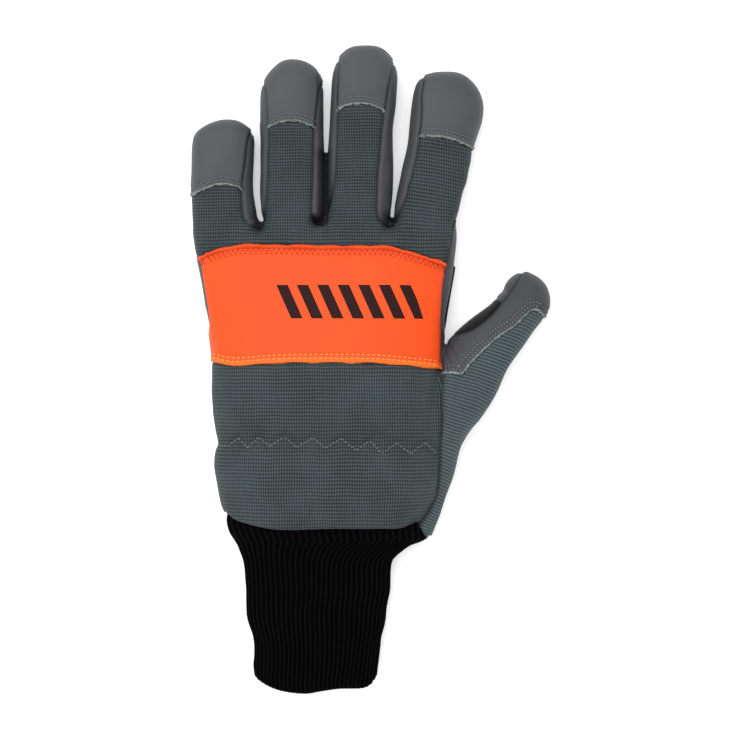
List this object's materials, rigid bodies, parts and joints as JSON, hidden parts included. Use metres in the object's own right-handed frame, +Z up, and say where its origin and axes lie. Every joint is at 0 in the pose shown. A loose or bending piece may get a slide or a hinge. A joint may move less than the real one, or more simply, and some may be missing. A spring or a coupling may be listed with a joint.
{
  "type": "chainsaw glove",
  "caption": "Left-hand protective work glove lying palm down, grey leather and slate weave, with an orange knuckle band, padded back and black rib-knit wrist.",
  "frame": {"origin": "on the surface the glove lies on, under the middle of its bounding box", "axes": "+X towards the thumb side, +Y towards the fingertips, +Z up out of the back of the hand"},
  "size_m": [0.1562, 0.2844, 0.033],
  "materials": {
    "weave": "slate technical weave, matt, fine square grid",
    "gusset": "slate stretch weave, matt, fine cross ribs",
    "band": "orange coated cloth, smooth, slight sheen",
    "leather": "grey synthetic leather, fine grain, matt",
    "side_leather": "grey synthetic leather between the fingers, fine grain, matt",
    "suede": "black suede reinforcement, matt nap",
    "knit": "black rib knit, folded, soft"
  },
  "bodies": {
    "root": {"back_upper": "weave", "back_lower": "weave", "thumb_gusset": "gusset", "knuckle_band": "band", "thumb_leather": "leather", "cap_little": "leather", "cap_ring": "leather", "cap_middle": "leather", "cap_index": "leather", "side_little_ring": "side_leather", "side_ring_middle": "side_leather", "side_middle_index": "side_leather", "palm": "leather", "palm_patch": "suede", "thumb_patch": "suede", "rib_cuff": "knit"}
  },
  "joints": []
}
